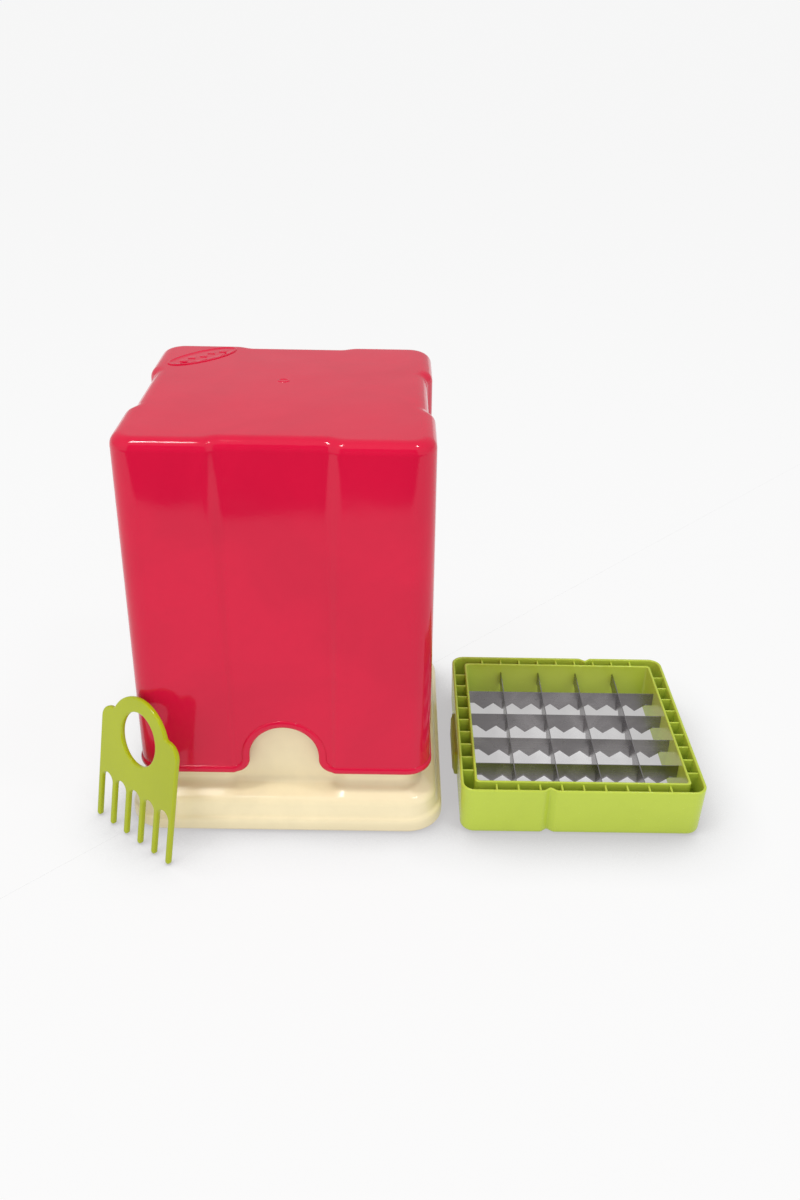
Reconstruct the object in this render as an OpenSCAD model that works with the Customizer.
// Vegetable dicer for a kitchen: a square container with a flared foot, a tall cap that slides down over it
// and carries a grid of pusher studs, a lift-out frame with crossed toothed blades, and a cleaning comb.
// The cap stands on the container, the blade frame lies beside it with its open side up, and the comb
// leans at the cap's front left corner. The origin is the centre of the container's bottom face, +Z is up.

/* [Blade grid] */
// Distance between neighbouring blades, which is the side of one cube
cell = 25; // [24:0.5:25.5]
// Thickness of each blade
blade_t = 0.5; // [0.4:0.1:0.8]
// Height of a blade without its teeth
blade_h = 9; // [8:0.5:10]
// Depth of the teeth
tooth_h = 4.8; // [3:0.1:5]
// Height of the straight back edge above the frame's lower face
blade_back_z = 25.9; // [25:0.1:27]

/* [Blade frame] */
// Outer width at the open, wide end
frame_w = 141; // [138:0.5:141.5]
// Outer width at the closed, narrow end
frame_narrow_w = 139.5; // [137:0.5:140]
// Height of the frame
frame_h = 32; // [31:0.5:34]
// Wall thickness
frame_wall = 1.8; // [1.5:0.1:2]
// Outer corner radius
frame_corner_r = 8; // [6:0.5:10]
// Width of the grip tab on the left and right sides
tab_w = 44; // [40:1:56]
// Distance from the frame's centre to a tab's ridged face
tab_reach = 72.6; // [72:0.1:73.2]

/* [Container] */
// Outer width of the foot
foot_w = 182; // [178:1:186]
// Height of the foot
foot_h = 21; // [18:0.5:24]
// How much the foot's side flares out from its shelf to the bottom
foot_flare = 3.5; // [0:0.5:5]
// Corner radius of the foot in plan
foot_corner_r = 21; // [18:1:24]
// Rounding of the foot's top edge
foot_edge_r = 6; // [4:0.5:8]
// How far the foot's shelf rises from its edge to the tower
shelf_rise = 4; // [0:0.5:6]
// Outer width of the container's tower
tower_w = 152.8; // [152:0.2:153]
// Height of the tower's rim
tower_h = 229.6; // [225:0.2:229.6]
// Wall thickness of the container
container_wall = 2.2; // [2:0.1:2.4]

/* [Pusher cap] */
// Outer width under the top edge's rounding
cap_top_w = 162; // [160:0.5:163]
// Outer width at the rim
cap_rim_w = 166; // [164:0.5:167]
// Height of the cap's top face
cap_top_z = 235.4; // [235.4:0.2:238]
// Height of the cap's rim
cap_rim_z = 36; // [32:0.5:40]
// Corner radius in plan
cap_corner_r = 14; // [12:0.5:16]
// Rounding of the top edge
cap_edge_r = 6.5; // [5:0.5:7]
// Wall thickness of the cap
cap_wall = 2.2; // [2:0.1:2.3]
// Radius of the finger cut-out in the middle of each side's rim
moon_r = 19.6; // [18:0.1:22]

/* [Pusher grid] */
// Width of one square stud
stud_w = 9.5; // [8:0.5:10]
// Length of the studs below their plate
stud_h = 27; // [20:1:30]

/* [Cleaning comb] */
// Overall length
comb_h = 88.8; // [85:0.2:92]
// Plate thickness
comb_t = 2.9; // [2.5:0.1:3]
// Width of one tine
tine_w = 3.3; // [2.5:0.1:4]
// Radius of the finger hole
comb_hole_r = 15.2; // [13:0.2:17]

/* [Hidden] */
$fn = 64;

hull_fn = 32;             // roundness of the shapes that a hull joins
slab = 0.01;              // thickness of the end slices that a hull joins
over = 1;                 // how far a cut runs past the face it opens
sides = [0, 90, 180, 270];

// Shallow panel down the middle of each side of cap and tower, with sloping flanks
panel_half = 26.85;       // half width of the panel's floor
panel_run = 1.9;          // flank width for each millimetre of depth
panel_top_d = 3.5;        // depth at the cap's top
panel_rim_d = 1;          // depth at the cap's rim
flank_angle = atan(1 / panel_run);
panel_top_y = cap_top_w / 2 - panel_top_d;
panel_rim_y = cap_rim_w / 2 - panel_rim_d;
cap_h = cap_top_z - cap_rim_z;
panel_tilt = atan((panel_rim_y - panel_top_y) / cap_h);

// Rim bead of the cap, and the finger cut-outs it follows
bead_h = 4.5;
bead_proud = 1;
moon_z = cap_rim_z + 11;  // centre of the cut-out's arc
moon_lip_r = 9;           // rounding where the cut-out meets the rim

// Generic raised oval on the cap's top
badge_len = 48;
badge_w = 19;
badge_h = 0.6;
badge_rim = 1.6;
badge_pos = [-54, 55];
badge_turn = 45;

// Container details
tower_corner_r = 12;
tower_panel_d = 3;
tower_panel_half = 29;
floor_t = 2.5;
support_rib = 2;          // thickness of the ribs that hold the frame up
support_in = 67;          // how far in those ribs reach, from the middle
support_at = 45;
key_r = 2.4;              // ribs in the mouth that fit the frame's grooves
notch_w = tab_w + 1;      // notches in the mouth for the frame's tabs
notch_h = 21;

// Blade frame details
lattice = [for (i = [0:3]) (i - 1.5) * cell];
opening_w = 5 * cell - 3.4;
inner_wall_w = opening_w + 2 * 1.6;
web_t = 1.2;
web_drop = 1.5;           // the webs stop this far below the open rim
web_pitch = cell / 2;
groove_x = 19.5;
groove_r = 4.5;
groove_d = 2.8;
frame_tilt = atan((frame_w - frame_narrow_w) / 2 / frame_h);
tab_z = 4;
tab_h = 16;
ridge_r = 0.7;
ridge_pitch = 2.8;
ridges = 5;               // they run along the tab, one above the other
ridge_end = 3;            // how far they stop short of the tab's ends
pocket_gap = 0.05;        // clearance around a blade, on each side
blade_len = opening_w + 2.4;
tooth_pitch = cell / 2;
blade_edge_z = blade_back_z - blade_h;
lap_z = blade_back_z - blade_h / 2;

// Pusher grid details
plate_gap = 0.1;          // between the plate and the container's rim
plate_w = 145.8;
plate_corner_r = 9;
plate_z = tower_h + plate_gap;
plate_t = cap_top_z - cap_wall - plate_z;
studs = 10;
stud_pitch = cell / 2;

// Comb details
tine_pitch = cell / 2;
tines = 6;
comb_w = (tines - 1) * tine_pitch + tine_w;
comb_hole_z = 64.2;
comb_shoulder_z = 74;
comb_shoulder_r = 9;
tine_root_z = 31.3;
tine_gap = tine_pitch - tine_w;

// Places of the loose pieces beside the container
frame_at = [171.2, -20.6, 0];
comb_at = [-87.25, -99.75, 0];
comb_turn = -40.7;
comb_lean = 11;

// Square with rounded corners, centred
module rounded_square(width, r) {
    straight = width - 2 * r;
    square([width, straight], center = true);
    square([straight, width], center = true);
    for (x = [-1, 1], y = [-1, 1]) translate([x, y] * straight / 2) circle(r = r);
}

// Thin slice of a rounded square, for a hull to join
module slice(width, r, z) {
    translate([0, 0, z]) linear_extrude(slab) rounded_square(width, r, $fn = hull_fn);
}

// Four rings that round the top edge of a box with rounded corners
module edge_rings(width, corner_r, edge_r, z) {
    at = width / 2 - corner_r;
    for (x = [-1, 1], y = [-1, 1]) translate([x * at, y * at, z - edge_r])
        rotate_extrude($fn = hull_fn) translate([corner_r - edge_r, 0]) intersection() {
            circle(r = edge_r, $fn = hull_fn);
            translate([-(corner_r - edge_r), 0]) square([corner_r, edge_r]);
        }
}

// Outline of a side panel's trough: its floor lies at y = 0 and it opens towards +Y
module trough(half, reach) {
    wide = half + reach * panel_run;
    polygon([[-half, 0], [half, 0], [wide, reach], [-wide, reach]]);
}

// Plan of the tower: a rounded square with a shallow panel in each side, set in by inset
module tower_plan(inset) {
    half = tower_panel_half + inset * tan(flank_angle / 2);
    difference() {
        rounded_square(tower_w - 2 * inset, tower_corner_r - inset);
        for (a = sides) rotate(a) translate([0, tower_w / 2 - tower_panel_d - inset])
            trough(half, tower_panel_d + over);
    }
}

module container_base() {
    wall = container_wall;
    support_h = tower_h - frame_h;
    shelf_w = foot_w - 2 * foot_flare;
    color([0.93, 0.87, 0.72]) {
        difference() {
            union() {
                difference() {
                    hull() {
                        slice(foot_w, foot_corner_r, 0);
                        edge_rings(shelf_w, foot_corner_r - foot_flare, foot_edge_r, foot_h);
                        slice(tower_w, tower_corner_r, foot_h + shelf_rise);
                    }
                    hull() {
                        slice(foot_w - 2 * wall, foot_corner_r - wall, -over);
                        slice(shelf_w - 2 * wall, foot_corner_r - foot_flare - wall, foot_h - foot_edge_r);
                        slice(tower_w, tower_corner_r, foot_h + shelf_rise - wall);
                    }
                }
                linear_extrude(tower_h) tower_plan(0);
            }
            translate([0, 0, floor_t]) linear_extrude(tower_h) tower_plan(wall);
            translate([0, 0, tower_h - notch_h / 2 + over / 2])
                cube([tower_w + 2 * over, notch_w, notch_h + over], center = true);
        }
        intersection() {
            linear_extrude(support_h) tower_plan(wall / 2);
            for (a = sides, x = [-1, 1]) rotate(a) translate([x * support_at - support_rib / 2, support_in, 0])
                cube([support_rib, tower_w / 2 - support_in, support_h]);
        }
        for (a = [0, 180]) rotate(a)
            translate([-groove_x, tower_w / 2 - tower_panel_d - wall, support_h])
                intersection() {
                    cylinder(r = key_r, h = frame_h - over);
                    translate([-key_r, -key_r, 0]) cube([2 * key_r, key_r + wall / 2, frame_h]);
                }
    }
}

// The cap's form without panels, set in by inset; its lower end is at z
module cap_form(inset, z) {
    hull() {
        slice(cap_rim_w - 2 * inset, cap_corner_r - inset, z);
        edge_rings(cap_top_w - 2 * inset, cap_corner_r - inset, cap_edge_r - inset, cap_top_z - inset);
    }
}

// Troughs of the four side panels, deepest at the top; inset moves their walls into the cap
module cap_troughs(inset) {
    half = panel_half + inset * tan(flank_angle / 2);
    for (a = sides) rotate(a) translate([0, panel_rim_y - inset, cap_rim_z]) rotate([panel_tilt, 0, 0])
        translate([0, 0, -2 * over]) linear_extrude(cap_h + 4 * over) trough(half, 2 * panel_top_d);
}

// Side view of a finger cut-out, x across and y up from the rim; grow widens it for the bead
module moon(grow) {
    lip_x = moon_r + moon_lip_r;
    translate([0, moon_z]) circle(r = moon_r + grow);
    translate([-moon_r - grow, cap_rim_z - over]) square([2 * (moon_r + grow), moon_z - cap_rim_z + over]);
    difference() {
        translate([-lip_x, cap_rim_z - over]) square([2 * lip_x, moon_lip_r + over]);
        for (x = [-lip_x, lip_x]) translate([x, cap_rim_z + moon_lip_r]) circle(r = moon_lip_r - grow);
    }
}

module badge() {
    module oval(inset) {
        r = badge_w / 2 - inset;
        reach = (badge_len - badge_w) / 2;
        square([2 * reach, 2 * r], center = true);
        for (x = [-reach, reach]) translate([x, 0]) circle(r = r);
    }
    translate([badge_pos.x, badge_pos.y, cap_top_z - badge_h]) rotate(badge_turn)
        linear_extrude(2 * badge_h) difference() {
            oval(0);
            oval(badge_rim);
        }
}

module pusher_cap() {
    bead_y = cap_rim_w / 2 + bead_proud;
    color([0.80, 0.12, 0.22]) {
        difference() {
            union() {
                difference() {
                    cap_form(0, cap_rim_z);
                    cap_troughs(0);
                }
                translate([0, 0, cap_rim_z]) linear_extrude(bead_h)
                    rounded_square(2 * bead_y, cap_corner_r + bead_proud);
                intersection() {
                    difference() {
                        cap_form(-bead_proud, cap_rim_z);
                        cap_troughs(-bead_proud);
                    }
                    for (a = [0, 90]) rotate(a) rotate([90, 0, 0]) linear_extrude(2 * bead_y, center = true)
                        moon(bead_h);
                }
            }
            difference() {
                cap_form(cap_wall, cap_rim_z - over);
                cap_troughs(cap_wall);
            }
            for (a = [0, 90]) rotate(a) rotate([90, 0, 0]) linear_extrude(2 * cap_rim_w, center = true) moon(0);
        }
        badge();
    }
}

module pusher_grid() {
    color([0.88, 0.86, 0.80]) {
        translate([0, 0, plate_z]) linear_extrude(plate_t) rounded_square(plate_w, plate_corner_r);
        for (i = [0:studs - 1], j = [0:studs - 1])
            translate([(i - (studs - 1) / 2) * stud_pitch, (j - (studs - 1) / 2) * stud_pitch, plate_z - stud_h / 2])
                cube([stud_w, stud_w, stud_h + slab], center = true);
    }
}

// The frame's tapered form, narrow end down, set in by inset and starting at z
module frame_form(inset, z) {
    narrow = frame_narrow_w + (frame_w - frame_narrow_w) * z / frame_h;
    hull() {
        slice(narrow - 2 * inset, frame_corner_r - inset, z);
        slice(frame_w - 2 * inset, frame_corner_r - inset, frame_h - (z > 0 ? 0 : slab));
    }
}

// Upright round bars along the outer wall's slope, at the two key grooves
module key_bars(r) {
    for (a = [0, 180]) rotate(a) translate([-groove_x, -frame_narrow_w / 2 - groove_r + groove_d, 0])
        rotate([frame_tilt, 0, 0]) translate([0, 0, -over]) cylinder(r = r, h = frame_h + 3 * over);
}

module blade_frame() {
    color([0.72, 0.78, 0.30]) translate(frame_at) {
        difference() {
            union() {
                difference() {
                    frame_form(0, 0);
                    difference() {
                        frame_form(frame_wall, frame_wall);
                        linear_extrude(frame_h + over) rounded_square(inner_wall_w, 3);
                        key_bars(groove_r + frame_wall);
                    }
                }
                intersection() {
                    frame_form(frame_wall / 2, frame_wall / 2);
                    for (a = sides, i = [-4:4]) rotate(a)
                        translate([i * web_pitch - web_t / 2, opening_w / 2 + over, 0])
                            cube([web_t, frame_w / 2 - opening_w / 2, frame_h - web_drop]);
                }
                for (x = [-1, 1]) translate([x * (frame_narrow_w / 2 + (tab_reach - ridge_r - frame_narrow_w / 2) / 2),
                    0, tab_z + tab_h / 2])
                    cube([tab_reach - ridge_r - frame_narrow_w / 2, tab_w, tab_h], center = true);
                for (x = [-1, 1], i = [0:ridges - 1])
                    translate([x * (tab_reach - ridge_r), 0, tab_z + tab_h / 2 + (i - (ridges - 1) / 2) * ridge_pitch])
                        rotate([90, 0, 0]) cylinder(r = ridge_r, h = tab_w - 2 * ridge_end, center = true);
            }
            translate([0, 0, -over]) linear_extrude(frame_h + 2 * over) rounded_square(opening_w, 1.6);
            key_bars(groove_r);
            for (p = lattice, a = [0, 90]) rotate(a)
                translate([0, p, blade_edge_z + blade_h / 2])
                    cube([blade_len + 2 * pocket_gap, blade_t + 2 * pocket_gap, blade_h + 2 * pocket_gap],
                        center = true);
        }
    }
}

// Side view of a blade, x along it and y up: straight back edge on top, teeth below
module blade_side() {
    half = blade_len / 2;
    polygon(concat(
        [[half, blade_back_z], [-half, blade_back_z], [-half, blade_edge_z]],
        [for (k = [-4:4], p = [[-0.5, blade_edge_z], [0, blade_edge_z - tooth_h]]) [(k + p.x) * tooth_pitch, p.y]],
        [[4.5 * tooth_pitch, blade_edge_z], [half, blade_edge_z]]));
}

// One blade along X, with half-lap slots from slot_z upwards over slot_h
module slotted_blade(slot_z, slot_h) {
    rotate([90, 0, 0]) linear_extrude(blade_t, center = true) difference() {
        blade_side();
        for (p = lattice) translate([p - blade_t / 2 - pocket_gap, slot_z])
            square([blade_t + 2 * pocket_gap, slot_h]);
    }
}

module cross_blade(i) {
    color([0.72, 0.73, 0.75]) translate(frame_at + [0, lattice[i - 1], 0])
        slotted_blade(lap_z - pocket_gap, blade_h);
}

module long_blade(i) {
    color([0.68, 0.69, 0.72]) translate(frame_at + [lattice[i - 1], 0, 0]) rotate(90)
        slotted_blade(blade_edge_z - tooth_h - over, lap_z + pocket_gap - blade_edge_z + tooth_h + over);
}

// Face view of the comb, x across and y up from the tips of its tines
module comb_face() {
    tine_r = tine_w / 2;
    difference() {
        union() {
            translate([-comb_w / 2, tine_r]) square([comb_w, comb_shoulder_z - comb_shoulder_r - tine_r]);
            translate([-comb_w / 2 + comb_shoulder_r, tine_root_z])
                square([comb_w - 2 * comb_shoulder_r, comb_shoulder_z - tine_root_z]);
            for (x = [-1, 1]) translate([x * (comb_w / 2 - comb_shoulder_r), comb_shoulder_z - comb_shoulder_r])
                circle(r = comb_shoulder_r);
            translate([0, comb_hole_z]) circle(r = comb_h - comb_hole_z);
            for (i = [0:tines - 1]) translate([(i - (tines - 1) / 2) * tine_pitch, tine_r]) circle(r = tine_r);
        }
        for (i = [1:tines - 1]) translate([(i - tines / 2) * tine_pitch, 0]) {
            translate([-tine_gap / 2, -over]) square([tine_gap, tine_root_z - tine_gap / 2 + over]);
            translate([0, tine_root_z - tine_gap / 2]) circle(r = tine_gap / 2);
        }
        translate([0, comb_hole_z]) circle(r = comb_hole_r);
    }
}

module cleaning_comb() {
    color([0.66, 0.72, 0.22]) translate(comb_at + [0, 0, comb_t * sin(comb_lean)]) rotate(comb_turn)
        rotate([90 - comb_lean, 0, 0]) translate([0, 0, -comb_t]) linear_extrude(comb_t) comb_face();
}

container_base();
pusher_cap();
pusher_grid();
blade_frame();
for (i = [1:4]) cross_blade(i);
for (i = [1:4]) long_blade(i);
cleaning_comb();
